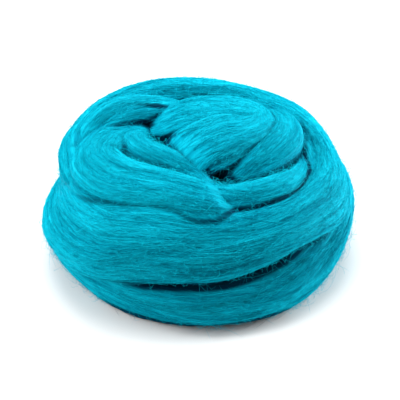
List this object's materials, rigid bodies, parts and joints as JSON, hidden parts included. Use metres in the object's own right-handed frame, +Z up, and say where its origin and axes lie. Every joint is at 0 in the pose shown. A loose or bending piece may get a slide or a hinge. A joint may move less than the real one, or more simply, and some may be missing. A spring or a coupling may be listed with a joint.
{
  "type": "wool roving",
  "caption": "Soft untwisted band of combed wool wound into a low nest, its end folded over itself on top.",
  "frame": {"origin": "middle of the nest's footprint, on the surface that it rests on", "axes": "+Z up, +X along the nest's widest way, with the dive of the outer sweep towards -Y"},
  "size_m": [0.1726, 0.1494, 0.0752],
  "materials": {
    "wool": "soft combed fibres, dyed turquoise"
  },
  "bodies": {
    "root": {"roving": "wool"}
  },
  "joints": []
}
